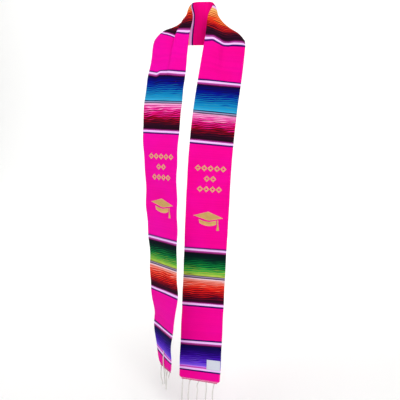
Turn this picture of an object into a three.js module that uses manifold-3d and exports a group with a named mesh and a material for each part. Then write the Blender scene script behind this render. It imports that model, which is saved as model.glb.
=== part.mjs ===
// Woven graduation stole: one long strip of striped cloth, hung round a neck, with
// a corded fringe on both ends, a blank woven label and stitched gold ornaments.
// Millimetres, +Z up, the wearer faces -Y. The origin is on the inner face of the
// cloth at the back of the neck, half way up the strip.
import * as THREE from 'three';
import { mergeVertices } from 'three/addons/utils/BufferGeometryUtils.js';
import Module from 'manifold-3d';

const wasm = await Module();
wasm.setup();

// Driving dimensions
const clothLength = 1980;
const clothWidth = 110;
const clothThickness = 1.8;
const cornerRadius = 7;
const slip = 10; // how much further the middle of the strip has slid to +X
const seatGap = 0.4; // air between the cloth and what is sewn to it

const stringLength = 62;
const stringWidth = 2.8;
const headerDepth = 3;
const headerThickness = 2.2;

const labelWidth = 36;
const labelHeight = 26;
const labelThickness = 0.7;
const labelMargin = 1; // cloth left bare between the label and the strip's edge

const ornamentThickness = 0.7;
const ornamentHeight = 16;
const ornamentLink = 3; // width of the thread where two lozenges touch
const ornamentThread = 3.2; // width of a lozenge's rim
const capWidth = 73;

// Mesh fineness
const rowsBeforeRoll = 8;
const rowsAfterRoll = 9;
const panelStep = 21;
const creasesInRoll = 14;
const creasesInBend = 6;
const creaseFill = 0.98; // share of its room that one crease bends
const curveSteps = 6; // on each curved edge of a stitched shape
const stringSides = 6;
const stringSteps = 12;
const mergeDistance = 1e-4; // corners closer than this are one

// The collar: each half of the strip rolls over a slanting line beside the neck.
// The four places are where the roll starts and ends along the edge at the neck
// and along the outer edge, as shares of the cloth's width from the nape.
const collarRolls = {
  left: { innerFrom: 0.02, innerTo: 0.42, outerFrom: 0.8, outerTo: 1.56, turn: 152 },
  right: { innerFrom: 0, innerTo: 0.4, outerFrom: 0.71, outerTo: 1.45, turn: 152 },
};

// The hanging panels: from and to are shares of the panel's length below the
// collar. turn curls the cloth back to the body, twist turns it about its own
// length and swing leans it outward, all in degrees.
const panelBends = {
  left: [
    { from: 0.01, to: 0.083, turn: 4, twist: -2, swing: 6 },
    { from: 0.096, to: 0.194, turn: 6, twist: 0, swing: -3 },
    { from: 0.206, to: 0.378, turn: 4, twist: 14, swing: -3.1 },
    { from: 0.476, to: 0.648, turn: 0, twist: 8, swing: 0 },
    { from: 0.75, to: 0.843, turn: 0, twist: 11.5, swing: 9 },
    { from: 0.847, to: 0.996, turn: 7, twist: 11, swing: -11.5 },
  ],
  right: [
    { from: 0.024, to: 0.094, turn: 4, twist: 3, swing: 1 },
    { from: 0.106, to: 0.2, turn: 6, twist: -6, swing: 3 },
    { from: 0.212, to: 0.378, turn: 4, twist: -9, swing: 3.5 },
    { from: 0.472, to: 0.65, turn: 2, twist: -9, swing: 0 },
  ],
};

// Lengthwise folds below the collar. Places along and across, the length over
// which the fold fades and its fall are shares of the cloth's width; across is
// measured from the middle of the strip, first where the fold is highest and
// then where it has faded. rise and tuck are shares of the cloth's width too.
const lengthFolds = {
  left: { from: 0.45, full: 1.0, fade: 1.25, to: 2.2, across: -0.2, drift: 0.16,
    rise: 0.095, climb: 0.3, fall: 0.09, tuck: 0.055 },
  right: { from: 0.7, full: 1.15, fade: 1.35, to: 2.1, across: -0.17, drift: 0,
    rise: 0.06, climb: 0.33, fall: 0.2, tuck: 0.02 },
};

// How far below the roll the rows of the cloth's grid lie square again, as a share
// of the cloth's width.
const fanOut = 0.75;

// Half way down, the collar is drawn in towards the neck, and its top edge flares
// out. Heights are shares of the cloth's width above the middle of the nape.
const drawIn = { left: 0.2, right: 0.12, height: 0.11, spread: 0.25 };
const flare = { left: 0.25, right: 0.38, from: 0.15, to: 0.5 };

// The shoulders hold the outer edge up. The rise, the distance from the middle
// plane over which it sets in, its height and its spread are shares of the cloth's
// width too.
const shoulder = { left: 0.2, right: 0.15, from: 0.35, to: 0.9, height: -0.5, spread: 0.36 };

// Places across the strip and across a fringe's bar, as shares of half the width of
// each. The strip's lie closer together at the edges and round the lengthwise folds.
const columns = [
  -1, -0.95, -0.84, -0.62, -0.46, -0.38, -0.3, -0.22, -0.12, -0.02, 0.1, 0.36, 0.68, 0.95, 1,
];
const barColumns = [-1, -0.6, -0.2, 0.2, 0.6, 1];

// Fringe strings: place is a share of half the bar's length and length a share of
// stringLength. sways are how far the string is off the plumb line, towards +X, at even
// steps down it, as shares of stringLength too. A string with a climb starts in front
// of the cloth, that share of the strip's width above its end, at topPlace.
const climbSpots = [0, 0.3, 0.6, 0.9];
const swayDepth = 0.6; // of each sway, towards the front and back
const strings = {
  left: [
    { place: -0.88, length: 0.25, sways: [0, -0.02, -0.03, -0.04, -0.04] },
    { place: -0.46, length: 0.85, sways: [-0.03, -0.06, -0.07, -0.07, -0.06] },
    { place: -0.04, length: 0.97, sways: [0.01, 0.02, 0.03, 0.02, 0] },
    { place: 0.12, length: 0.72, sways: [0, 0.01, 0.01, 0.02, 0.02], climb: 0.42, topPlace: -0.17 },
    { place: 0.8, length: 0.92, sways: [-0.02, -0.03, -0.02, 0.01, 0.03] },
  ],
  right: [
    { place: -0.92, length: 1, sways: [-0.024, -0.032, -0.04, -0.048, -0.052] },
    { place: -0.5, length: 0.95, sways: [-0.05, -0.068, -0.08, -0.09, -0.09] },
    { place: -0.02, length: 1, sways: [-0.07, -0.055, -0.065, -0.08, -0.075] },
    { place: 0.37, length: 0.97, sways: [0.016, 0.012, 0, -0.01, -0.008] },
    { place: 0.85, length: 1, sways: [-0.045, -0.07, -0.075, -0.062, -0.055] },
  ],
};

// Ornament rows: how far down a half of the strip, as a share of half its length,
// and how many lozenges, each as wide as the row is tall.
const ornamentRows = [
  { place: 0.447, lozenges: 5 },
  { place: 0.474, lozenges: 2 },
  { place: 0.501, lozenges: 4 },
];
const capPlace = 0.567;
const ornamentAcross = 3; // how far all of them are off the strip's middle, towards +X

// Outlines of the three stitched areas of a mortarboard seen from slightly above, as
// shares of capWidth: x runs to +X and y down. Where a corner has viaX and viaY, the
// edge that leads to it is curved towards that point.
const capOutlines = {
  board: [
    { x: -0.5, y: 0 },
    { x: 0, y: -0.15 },
    { x: 0.52, y: 0.055 },
    { x: 0.13, y: 0.14 },
    { x: -0.05, y: 0.135, viaX: 0.05, viaY: 0.16 },
  ],
  crown: [
    { x: -0.31, y: 0.13 },
    { x: 0.06, y: 0.205, viaX: -0.1, viaY: 0.205 },
    { x: 0.29, y: 0.15 },
    { x: 0.3, y: 0.28 },
    { x: 0, y: 0.345, viaX: 0.17, viaY: 0.355 },
    { x: -0.29, y: 0.25, viaX: -0.18, viaY: 0.325 },
  ],
  tassel: [
    { x: 0.325, y: 0.14 },
    { x: 0.36, y: 0.13 },
    { x: 0.375, y: 0.31 },
    { x: 0.41, y: 0.485 },
    { x: 0.31, y: 0.495 },
    { x: 0.335, y: 0.31 },
  ],
};

// The cloth is pulled out of square, so its cross threads and the stitching that
// follows them lie aslant. Each row gives how far they have slipped up the strip
// at the inner and the outer edge, as shares of its width, and where, as a share of
// the length of that half.
const threadSlips = {
  left: [
    { place: 0.3, inner: 0, outer: 0.01 },
    { place: 0.37, inner: -0.05, outer: 0.01 },
    { place: 0.45, inner: -0.035, outer: 0.047 },
    { place: 0.58, inner: -0.052, outer: 0.065 },
    { place: 0.66, inner: -0.08, outer: 0.06 },
    { place: 1, inner: 0.09, outer: 0.09 },
  ],
  right: [
    { place: 0.3, inner: -0.02, outer: 0 },
    { place: 0.39, inner: -0.02, outer: -0.03 },
    { place: 0.51, inner: 0, outer: 0 },
    { place: 0.57, inner: -0.018, outer: -0.014 },
    { place: 0.66, inner: 0.02, outer: 0.04 },
    { place: 1, inner: 0.06, outer: 0.09 },
  ],
};
const labelPlace = 0.9625; // the label's middle, as a share of half the length

const colours = {
  cloth: 0xf0008c,
  string: 0xe9e6dc,
  label: 0xe2e6ee,
  gold: 0xbfa25a,
};

const halfLength = clothLength / 2;
const halfWidth = clothWidth / 2;
const halfThickness = clothThickness / 2;
const barReach = halfWidth - cornerRadius;
const signs = { left: -1, right: 1 };
const armLength = { left: halfLength - slip, right: halfLength + slip };

// Creases that are narrow enough to be bent one after the other.
function creasesBetween(innerFrom, innerTo, outerFrom, outerTo, count, bend) {
  const creases = [];
  const innerGap = (innerTo - innerFrom) / count;
  const outerGap = (outerTo - outerFrom) / count;
  for (let i = 0; i < count; i++) {
    const inner = innerFrom + innerGap * i;
    const outer = outerFrom + outerGap * i;
    const slant = Math.atan2(outer - inner, clothWidth);
    creases.push({
      place: (inner + outer) / 2,
      slant,
      reach: Math.min(innerGap, outerGap) * Math.cos(slant) * creaseFill,
      turn: THREE.MathUtils.degToRad(bend.turn / count),
      twist: THREE.MathUtils.degToRad((bend.twist ?? 0) / count),
      swing: THREE.MathUtils.degToRad((bend.swing ?? 0) / count),
    });
  }
  return creases;
}

function creasesOf(side) {
  const roll = collarRolls[side];
  const collarEnd = roll.outerTo * clothWidth;
  const panelLength = armLength[side] - collarEnd;
  const creases = creasesBetween(
    roll.innerFrom * clothWidth,
    roll.innerTo * clothWidth,
    roll.outerFrom * clothWidth,
    collarEnd,
    creasesInRoll,
    roll,
  );
  for (const bend of panelBends[side]) {
    const from = collarEnd + bend.from * panelLength;
    const to = collarEnd + bend.to * panelLength;
    creases.push(...creasesBetween(from, to, from, to, creasesInBend, bend));
  }
  return creases.reverse();
}

const creases = { left: creasesOf('left'), right: creasesOf('right') };

function rotate(first, second, angle) {
  const c = Math.cos(angle);
  const s = Math.sin(angle);
  return [first * c - second * s, first * s + second * c];
}

// Bends the flat strip along its creases, the last one first. along runs from the
// nape to the end, across from the neck edge to the outer edge and lift towards
// the inner face.
function bendAlongCreases(side, along, across, lift) {
  let v = along;
  let u = across;
  let h = lift;
  for (const { place, slant, reach, turn, twist, swing } of creases[side]) {
    const c = Math.cos(slant);
    const s = Math.sin(slant);
    const beyond = (along - place) * c - across * s;
    const share = THREE.MathUtils.clamp(beyond / reach, 0, 1);
    if (share === 0) continue;
    v -= place + share * reach * c;
    u += share * reach * s;
    [u, h] = rotate(u, h, twist * share);
    [v, u] = rotate(v, u, swing * share);
    let away = v * c - u * s;
    const down = v * s + u * c;
    [away, h] = rotate(away, h, turn * share);
    const radius = turn > 0 ? reach / turn : 0;
    away += turn > 0 ? radius * Math.sin(turn * share) : share * reach;
    h += radius * (1 - Math.cos(turn * share));
    v = place + away * c + down * s;
    u = down * c - away * s;
  }
  return [v, u, h];
}

const smooth = (x) => THREE.MathUtils.smoothstep(x, 0, 1);

// Height and sideways tuck of the lengthwise fold at one place of the flat strip.
function lengthFoldAt(side, along, across) {
  const fold = lengthFolds[side];
  const place = along / clothWidth;
  const grow = smooth((place - fold.from) / (fold.full - fold.from));
  const strength = grow * (1 - smooth((place - fold.fade) / (fold.to - fold.fade)));
  const drift = fold.drift * smooth((place - fold.full) / (fold.to - fold.full));
  const past = across / clothWidth - fold.across - drift;
  const fallen = smooth(past / fold.fall);
  const climbed = smooth(1 + past / fold.climb);
  return {
    rise: fold.rise * clothWidth * strength * climbed * (1 - fallen),
    tuck: fold.tuck * clothWidth * strength * fallen,
  };
}

function middleOfCloth(side, along, across) {
  const fold = lengthFoldAt(side, along, across);
  const [v, u, h] = bendAlongCreases(side, along, across - fold.tuck, -fold.rise);
  const height = -u / clothWidth;
  const offCentre = (height - drawIn.height) / drawIn.spread;
  const pull = drawIn[side] * Math.exp(-offCentre * offCentre);
  const push = flare[side] * smooth((height - flare.from) / (flare.to - flare.from));
  const x = v * (1 - pull + push);
  const out = smooth((x / clothWidth - shoulder.from) / (shoulder.to - shoulder.from));
  const offShoulder = (height - shoulder.height) / shoulder.spread;
  const held = shoulder[side] * clothWidth * out * Math.exp(-offShoulder * offShoulder);
  return new THREE.Vector3(signs[side] * x, halfThickness - h, held - u);
}

// A point that stands off the middle of the cloth, with positive lift outside.
function onCloth(side, along, across, lift) {
  const step = 0.5;
  const point = middleOfCloth(side, along, across);
  const ahead = middleOfCloth(side, along + step, across).sub(point);
  const beside = middleOfCloth(side, along, across + step).sub(point);
  const outward = ahead.cross(beside).multiplyScalar(signs[side]).normalize();
  return point.addScaledVector(outward, lift);
}

// Closes two facing grids of points, the outer and the inner face, to one body.
function slabFromGrids(outerRows, innerRows) {
  const rowCount = outerRows.length;
  const width = outerRows[0].length;
  const positions = [];
  for (const rows of [outerRows, innerRows]) {
    for (const row of rows) {
      for (const point of row) positions.push(point.x, point.y, point.z);
    }
  }
  const outer = (row, column) => row * width + column;
  const inner = (row, column) => (rowCount + row) * width + column;
  const index = [];
  const quad = (a, b, c, d) => index.push(a, b, c, a, c, d);
  for (let r = 0; r < rowCount - 1; r++) {
    for (let c = 0; c < width - 1; c++) {
      quad(outer(r, c), outer(r + 1, c), outer(r + 1, c + 1), outer(r, c + 1));
      quad(inner(r, c), inner(r, c + 1), inner(r + 1, c + 1), inner(r + 1, c));
    }
    quad(outer(r, 0), inner(r, 0), inner(r + 1, 0), outer(r + 1, 0));
    quad(outer(r, width - 1), outer(r + 1, width - 1), inner(r + 1, width - 1), inner(r, width - 1));
  }
  for (let c = 0; c < width - 1; c++) {
    quad(outer(0, c), outer(0, c + 1), inner(0, c + 1), inner(0, c));
    const last = rowCount - 1;
    quad(outer(last, c), inner(last, c), inner(last, c + 1), outer(last, c + 1));
  }
  const geometry = new THREE.BufferGeometry();
  geometry.setAttribute('position', new THREE.Float32BufferAttribute(positions, 3));
  geometry.setIndex(index);
  geometry.computeVertexNormals();
  return geometry;
}

// How much shorter the strip is at one place across its end, for a round corner.
function cornerCut(across) {
  const into = Math.abs(across) - (halfWidth - cornerRadius);
  if (into <= 0) return 0;
  return cornerRadius - Math.sqrt(Math.max(0, cornerRadius * cornerRadius - into * into));
}

// Rows of the cloth's grid along one half of the strip, from the nape to the end.
// Each is a line from a place on the neck edge to one on the outer edge: they fan
// out to the slant of the collar's roll and back to square below it.
function rowsOf(side) {
  const roll = collarRolls[side];
  const squareFrom = (roll.outerTo + fanOut) * clothWidth;
  const cornerStart = armLength[side] - cornerRadius;
  const rows = [];
  const addRows = (count, innerFrom, innerTo, outerFrom, outerTo) => {
    for (let i = 0; i < count; i++) {
      rows.push({
        inner: THREE.MathUtils.lerp(innerFrom, innerTo, i / count),
        outer: THREE.MathUtils.lerp(outerFrom, outerTo, i / count),
      });
    }
  };
  const [innerFrom, innerTo, outerFrom, outerTo] = [
    roll.innerFrom,
    roll.innerTo,
    roll.outerFrom,
    roll.outerTo,
  ].map((share) => share * clothWidth);
  addRows(rowsBeforeRoll, 0, innerFrom, 0, outerFrom);
  addRows(creasesInRoll, innerFrom, innerTo, outerFrom, outerTo);
  addRows(rowsAfterRoll, innerTo, squareFrom, outerTo, squareFrom);
  const panelCount = Math.ceil((cornerStart - squareFrom) / panelStep);
  addRows(panelCount, squareFrom, cornerStart, squareFrom, cornerStart);
  rows.push({ inner: cornerStart, outer: cornerStart });
  rows.push({ inner: armLength[side], outer: armLength[side], cut: true });
  return rows;
}

function makeCloth() {
  const outerFace = [];
  const innerFace = [];
  const addRow = (side, { inner, outer, cut }) => {
    const rowAt = (lift) =>
      columns.map((share) => {
        const across = share * halfWidth;
        const along = THREE.MathUtils.lerp(inner, outer, (share + 1) / 2);
        return onCloth(side, cut ? along - cornerCut(across) : along, across, lift);
      });
    outerFace.push(rowAt(halfThickness));
    innerFace.push(rowAt(-halfThickness));
  };
  for (const row of rowsOf('left').slice(1).reverse()) addRow('left', row);
  for (const row of rowsOf('right')) addRow('right', row);
  return slabFromGrids(outerFace, innerFace);
}

// How far the cross threads have slipped up the strip at one place of it.
function threadSlip(side, along, across) {
  const rows = threadSlips[side];
  const place = along / armLength[side];
  const next = Math.max(1, rows.findIndex((row) => row.place >= place));
  const [above, below] = [rows[next - 1], rows[next]];
  const share = (place - above.place) / (below.place - above.place);
  const inner = THREE.MathUtils.lerp(above.inner, below.inner, share);
  const outer = THREE.MathUtils.lerp(above.outer, below.outer, share);
  return THREE.MathUtils.lerp(inner, outer, across / clothWidth + 0.5) * clothWidth;
}

// A thin sewn piece, cut from a flat shape. Its x runs across the strip, towards +X
// on both halves, and its y down along it.
function sewnOn(shape, side, middleAlong, middleAcross, thickness) {
  const flat = new THREE.ExtrudeGeometry(shape, {
    depth: thickness,
    bevelEnabled: false,
    curveSegments: curveSteps,
  });
  flat.deleteAttribute('normal');
  flat.deleteAttribute('uv');
  const geometry = mergeVertices(flat, mergeDistance);
  const spots = geometry.attributes.position;
  const floor = halfThickness + seatGap;
  for (let i = 0; i < spots.count; i++) {
    const across = middleAcross + signs[side] * spots.getX(i);
    const along = middleAlong + spots.getY(i) - threadSlip(side, middleAlong, across);
    const point = onCloth(side, along, across, floor + spots.getZ(i));
    spots.setXYZ(i, point.x, point.y, point.z);
  }
  // y runs down, so the shape is seen mirrored and its faces are turned round.
  const order = geometry.index.array;
  for (let i = 0; i < order.length; i += 3) {
    [order[i], order[i + 1]] = [order[i + 1], order[i]];
  }
  geometry.computeVertexNormals();
  return geometry;
}

function makeLabel() {
  const across = halfWidth - labelMargin - labelWidth / 2;
  const along = labelPlace * halfLength + slip;
  const x = labelWidth / 2;
  const y = labelHeight / 2;
  const shape = new THREE.Shape([
    new THREE.Vector2(-x, -y),
    new THREE.Vector2(x, -y),
    new THREE.Vector2(x, y),
    new THREE.Vector2(-x, y),
  ]);
  return sewnOn(shape, 'right', along, across, labelThickness);
}

// A row of hollow lozenges that touch at their tips.
function lozengeRow(count) {
  const half = ornamentHeight / 2;
  const neck = ornamentLink / 2;
  const left = (-count * ornamentHeight) / 2;
  const shape = new THREE.Shape();
  shape.moveTo(left, -neck);
  for (let i = 0; i < count; i++) {
    const start = left + i * ornamentHeight;
    shape.lineTo(start + half, -half);
    shape.lineTo(start + ornamentHeight, -neck);
  }
  shape.lineTo(left + count * ornamentHeight, neck);
  for (let i = count - 1; i >= 0; i--) {
    const start = left + i * ornamentHeight;
    shape.lineTo(start + half, half);
    shape.lineTo(start, neck);
  }
  const open = half - ornamentThread * Math.SQRT2;
  for (let i = 0; i < count; i++) {
    const middle = left + i * ornamentHeight + half;
    const hole = new THREE.Path();
    hole.moveTo(middle - open, 0);
    hole.lineTo(middle, open);
    hole.lineTo(middle + open, 0);
    hole.lineTo(middle, -open);
    hole.closePath();
    shape.holes.push(hole);
  }
  return shape;
}

function capShape(outline) {
  const shape = new THREE.Shape();
  outline.forEach(({ x, y, viaX, viaY }, corner) => {
    const end = [x * capWidth, y * capWidth];
    if (corner === 0) shape.moveTo(...end);
    else if (viaX === undefined) shape.lineTo(...end);
    else shape.quadraticCurveTo(viaX * capWidth, viaY * capWidth, ...end);
  });
  shape.closePath();
  return shape;
}

function toSolid(geometry) {
  const bare = geometry.clone();
  for (const attribute of Object.keys(bare.attributes)) {
    if (attribute !== 'position') bare.deleteAttribute(attribute);
  }
  const merged = mergeVertices(bare, mergeDistance);
  return new wasm.Manifold(
    new wasm.Mesh({
      numProp: 3,
      vertProperties: new Float32Array(merged.attributes.position.array),
      triVerts: new Uint32Array(merged.index.array),
    }),
  );
}

function toGeometry(solid) {
  const mesh = solid.getMesh();
  const geometry = new THREE.BufferGeometry();
  geometry.setAttribute('position', new THREE.BufferAttribute(mesh.vertProperties, 3));
  geometry.setIndex(new THREE.BufferAttribute(mesh.triVerts, 1));
  geometry.computeVertexNormals();
  return geometry;
}

// The bar along the end of the strip that all strings of a fringe hang from.
function makeHeader(side) {
  const start = armLength[side] + seatGap;
  const rowAt = (along, lift) =>
    barColumns.map((share) => onCloth(side, along, share * barReach, lift));
  const places = [start + headerDepth, start];
  if (signs[side] > 0) places.reverse();
  const outerRows = places.map((along) => rowAt(along, headerThickness / 2));
  const innerRows = places.map((along) => rowAt(along, -headerThickness / 2));
  return slabFromGrids(outerRows, innerRows);
}

// The part of a string that lies in front of the cloth, down to the bar.
function climbOf(side, { place, climb, topPlace }) {
  const points = [];
  const top = armLength[side] - climb * clothWidth;
  const inFront = halfThickness + stringWidth / 2 + 2 * seatGap;
  for (const share of climbSpots) {
    const along = THREE.MathUtils.lerp(top, armLength[side], share);
    const across = THREE.MathUtils.lerp(topPlace, place, share) * barReach;
    points.push(onCloth(side, along, across, inFront));
  }
  return points;
}

// One string: it leaves the bar and hangs down, swaying to and fro.
function makeString(side, string) {
  const across = string.place * barReach;
  const points = string.climb ? climbOf(side, string) : [];
  const lift = string.climb ? headerThickness : 0;
  const top = onCloth(side, armLength[side] + seatGap + headerDepth / 2, across, lift);
  const step = (stringLength * string.length) / string.sways.length;
  points.push(top);
  string.sways.forEach((share, i) => {
    const sway = share * stringLength;
    points.push(new THREE.Vector3(top.x + sway, top.y + sway * swayDepth, top.z - step * (i + 1)));
  });
  const section = new THREE.Shape();
  section.absarc(0, 0, stringWidth / 2, 0, Math.PI * 2);
  const corners = section.getPoints(stringSides).slice(0, stringSides);
  return new THREE.ExtrudeGeometry(new THREE.Shape(corners), {
    steps: string.climb ? 2 * stringSteps : stringSteps,
    extrudePath: new THREE.CatmullRomCurve3(points),
  });
}

function makeFringe(side) {
  let fringe = toSolid(makeHeader(side));
  for (const string of strings[side]) fringe = fringe.add(toSolid(makeString(side, string)));
  return toGeometry(fringe);
}

const finishes = {
  cloth: new THREE.MeshStandardMaterial({ color: colours.cloth, roughness: 0.85, metalness: 0 }),
  string: new THREE.MeshStandardMaterial({ color: colours.string, roughness: 0.9, metalness: 0 }),
  label: new THREE.MeshStandardMaterial({ color: colours.label, roughness: 0.6, metalness: 0 }),
  gold: new THREE.MeshStandardMaterial({ color: colours.gold, roughness: 0.5, metalness: 0.3 }),
};

const stole = new THREE.Group();

function addPiece(name, geometry, finish) {
  const mesh = new THREE.Mesh(geometry, finishes[finish].clone());
  mesh.name = name;
  stole.add(mesh);
}

addPiece('stole_cloth', makeCloth(), 'cloth');
addPiece('label', makeLabel(), 'label');
for (const side of ['left', 'right']) {
  addPiece(`fringe_${side}`, makeFringe(side), 'string');
  const slid = slip * signs[side];
  const across = signs[side] * ornamentAcross;
  ornamentRows.forEach(({ place, lozenges }, row) => {
    const along = place * halfLength + slid;
    const geometry = sewnOn(lozengeRow(lozenges), side, along, across, ornamentThickness);
    addPiece(`ornament_row_${row + 1}_${side}`, geometry, 'gold');
  });
  for (const [part, outline] of Object.entries(capOutlines)) {
    const along = capPlace * halfLength + slid;
    const geometry = sewnOn(capShape(outline), side, along, across, ornamentThickness);
    addPiece(`cap_${part}_${side}`, geometry, 'gold');
  }
}

export default stole;
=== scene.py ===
import math
import random
import bpy
import numpy as np
from mathutils import Matrix, Vector


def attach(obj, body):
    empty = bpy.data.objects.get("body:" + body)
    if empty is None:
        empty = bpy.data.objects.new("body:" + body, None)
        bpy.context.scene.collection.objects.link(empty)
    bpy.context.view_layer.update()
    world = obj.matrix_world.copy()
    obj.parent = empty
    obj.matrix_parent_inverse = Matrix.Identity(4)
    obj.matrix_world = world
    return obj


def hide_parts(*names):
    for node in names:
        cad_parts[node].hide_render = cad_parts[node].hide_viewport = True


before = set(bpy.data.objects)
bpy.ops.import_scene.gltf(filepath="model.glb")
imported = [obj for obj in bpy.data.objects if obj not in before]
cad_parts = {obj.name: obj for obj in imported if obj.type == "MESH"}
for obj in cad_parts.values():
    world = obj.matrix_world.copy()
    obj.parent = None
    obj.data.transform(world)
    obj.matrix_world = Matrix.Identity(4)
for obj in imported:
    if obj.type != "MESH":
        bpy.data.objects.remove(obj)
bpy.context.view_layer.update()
print("stage: frame loaded")

# The strip of cloth and how it hangs, in metres, shares of its width or degrees.
# Along runs from the nape to an end of the strip, across from the neck edge to the
# outer edge, and a positive lift stands off the outer face.
cloth = dict(width=0.110, length=1.980, thickness=0.0018, corner=0.007, slip=0.010, seat=0.0004)
signs = dict(left=-1, right=1)

# Where each half starts and ends rolling over, on the neck edge and on the outer edge.
collarRolls = {
    "left": dict(innerFrom=0.02, innerTo=0.42, outerFrom=0.8, outerTo=1.56, turn=152),
    "right": dict(innerFrom=0.0, innerTo=0.4, outerFrom=0.71, outerTo=1.45, turn=152),
}

# The hanging panels: start and stop as shares of the length below the collar, then
# turn towards the body, twist about the panel's length and outward swing.
panelBends = {
    "left": [
        (0.01, 0.083, 4, -2, 6),
        (0.096, 0.194, 6, 0, -3),
        (0.206, 0.378, 4, 14, -3.1),
        (0.476, 0.648, 0, 8, 0),
        (0.75, 0.843, 0, 11.5, 9),
        (0.847, 0.996, 7, 11, -11.5),
    ],
    "right": [
        (0.024, 0.094, 4, 3, 1),
        (0.106, 0.2, 6, -6, 3),
        (0.212, 0.378, 4, -9, 3.5),
        (0.472, 0.65, 2, -9, 0),
    ],
}

# Lengthwise folds below the collar, the draw-in and flare of the neck, and the
# shoulders that hold the outer edge up.
lengthFolds = {
    "left": dict(start=0.45, full=1.0, fade=1.25, end=2.2, across=-0.2, drift=0.16,
                 rise=0.095, climb=0.3, fall=0.09, tuck=0.055),
    "right": dict(start=0.7, full=1.15, fade=1.35, end=2.1, across=-0.17, drift=0.0,
                  rise=0.06, climb=0.33, fall=0.2, tuck=0.02),
}
drawIn = dict(left=0.2, right=0.12, height=0.11, spread=0.25)
flare = dict(left=0.25, right=0.38, start=0.15, end=0.5)
shoulder = dict(left=0.2, right=0.15, start=0.35, end=0.9, height=-0.5, spread=0.36)
creaseCounts = dict(roll=56, bend=6)
# The many fine creases of the roll set in a little early, as a share of the roll, and lie
# this much further down, so that the panels hang as they would from fewer, broader ones.
rollLead = dict(share=0.0275, shift=0.00125)

# How far the cross threads have slipped up the strip: distance along, then the slips in
# millimetres at the inner and the outer edge, or at all the places across that are named
# in slipPlaces as shares of the width.
slipPlaces = dict(left=(0, 0.15, 0.3, 0.39, 0.7, 0.76, 0.85, 1), right=(0, 0.2, 0.4, 0.6, 0.8, 1))
slipBlend = (-0.025, 0, 0.025)  # the mean of these near places makes the threads turn softly
threadSlips = {
    "left": [(0, 0, 0), (35, 12, 11, 7, 4.5, 6, 5.8, 5.5, 5), (58, 16, 16, 12, 7, 3, 2.5, 2, 4),
             (78, 17, 17, 12, 4, 0, 1, 2, 5), (98, 13, 13, 10, -2, -4, -2, 1, 7),
             (120, 8.7, 8.4, 8, -8, -9.5, -5.7, 0, 9), (165, 6, 6, 6, -2, -3, -3, 0, 7.5),
             (215, 2, 3.3, 4.5, 5.5, 6.5, 1.2, 2.8, 6), (294, -0.7, 1), (370, -5.5, 1.5),
             (440, -3.9, 5.2), (571, -5.7, 7.2), (645, -8.5, 6.5), (712, -5, 11),
             (780, -1, 16.5), (880, 5.5, 10), (938, 3.5, 22), (980, 7, 7)],
    "right": [(0, 0, 0), (39, 21, 16), (62, 19, 18, 15.5, 14, 13, 13),
              (90, 25, 20, 10.3, 7.3, 7.3, 9.1), (135, 10.7, 14.7, 2.7, -2.3, -1.3, 3),
              (238, -2, 10), (315, -3, 0), (388, -2, -3), (510, 0.1, 0.1), (571, -2, -1.5),
              (661, 2.8, 4), (730, 4, 5.8), (802, 3.5, 7.5), (902, 2, 9), (972, 5.4, 8),
              (1000, 7, 9)],
}


def armLength(side):
    return cloth["length"] / 2 + signs[side] * cloth["slip"]


def smooth(x):
    t = np.clip(x, 0, 1)
    return t * t * (3 - 2 * t)


def creasesBetween(edges, count, turn, twist=0, swing=0, lead=0, shift=0):
    found = []
    innerFrom, innerTo, outerFrom, outerTo = edges
    innerGap = (innerTo - innerFrom) / count
    outerGap = (outerTo - outerFrom) / count
    for i in range(count):
        inner = innerFrom + innerGap * (i - lead * count)
        outer = outerFrom + outerGap * (i - lead * count)
        slant = math.atan2(outer - inner, cloth["width"])
        reach = min(innerGap, outerGap) * math.cos(slant) * 0.98
        angles = [math.radians(a / count) for a in (turn, twist, swing)]
        found.append(((inner + outer) / 2 + shift, slant, reach, *angles))
    return found


def creasesOf(side):
    w = cloth["width"]
    roll = collarRolls[side]
    end = roll["outerTo"] * w
    span = armLength(side) - end
    edges = [roll[name] * w for name in ("innerFrom", "innerTo", "outerFrom", "outerTo")]
    found = creasesBetween(edges, creaseCounts["roll"], roll["turn"], lead=rollLead["share"],
                           shift=rollLead["shift"])
    for start, stop, turn, twist, swing in panelBends[side]:
        a, b = end + start * span, end + stop * span
        found += creasesBetween((a, b, a, b), creaseCounts["bend"], turn, twist, swing)
    return found[::-1]


creases = {side: creasesOf(side) for side in signs}


# A pair of coordinates turned by an angle in radians.
def turned(a, b, angle):
    c, s = np.cos(angle), np.sin(angle)
    return a * c - b * s, a * s + b * c


# Bends flat places along the creases, the last one first.
def bendStrip(side, along, across, lift):
    v, u, h = along.copy(), across.copy(), lift.copy()
    for place, slant, reach, turn, twist, swing in creases[side]:
        c, s = math.cos(slant), math.sin(slant)
        share = np.clip(((along - place) * c - across * s) / reach, 0, 1)
        on = share > 0
        k = share[on]
        if not len(k):
            continue
        v1 = v[on] - place - k * reach * c
        u1 = u[on] + k * reach * s
        h1 = h[on]
        u1, h1 = turned(u1, h1, twist * k)
        v1, u1 = turned(v1, u1, swing * k)
        away, down = turned(v1, u1, slant)
        away, h1 = turned(away, h1, turn * k)
        if turn > 0:
            away = away + reach / turn * np.sin(turn * k)
            h1 = h1 + reach / turn * (1 - np.cos(turn * k))
        else:
            away = away + k * reach
        v1, u[on] = turned(away, down, -slant)
        v[on] = place + v1
        h[on] = h1
    return v, u, h


def foldOf(side, along, across):
    w = cloth["width"]
    f = lengthFolds[side]
    place = along / w
    strength = smooth((place - f["start"]) / (f["full"] - f["start"]))
    strength = strength * (1 - smooth((place - f["fade"]) / (f["end"] - f["fade"])))
    drift = f["drift"] * smooth((place - f["full"]) / (f["end"] - f["full"]))
    past = across / w - f["across"] - drift
    fallen = smooth(past / f["fall"])
    climbed = smooth(1 + past / f["climb"])
    return f["rise"] * w * strength * climbed * (1 - fallen), f["tuck"] * w * strength * fallen


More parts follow.
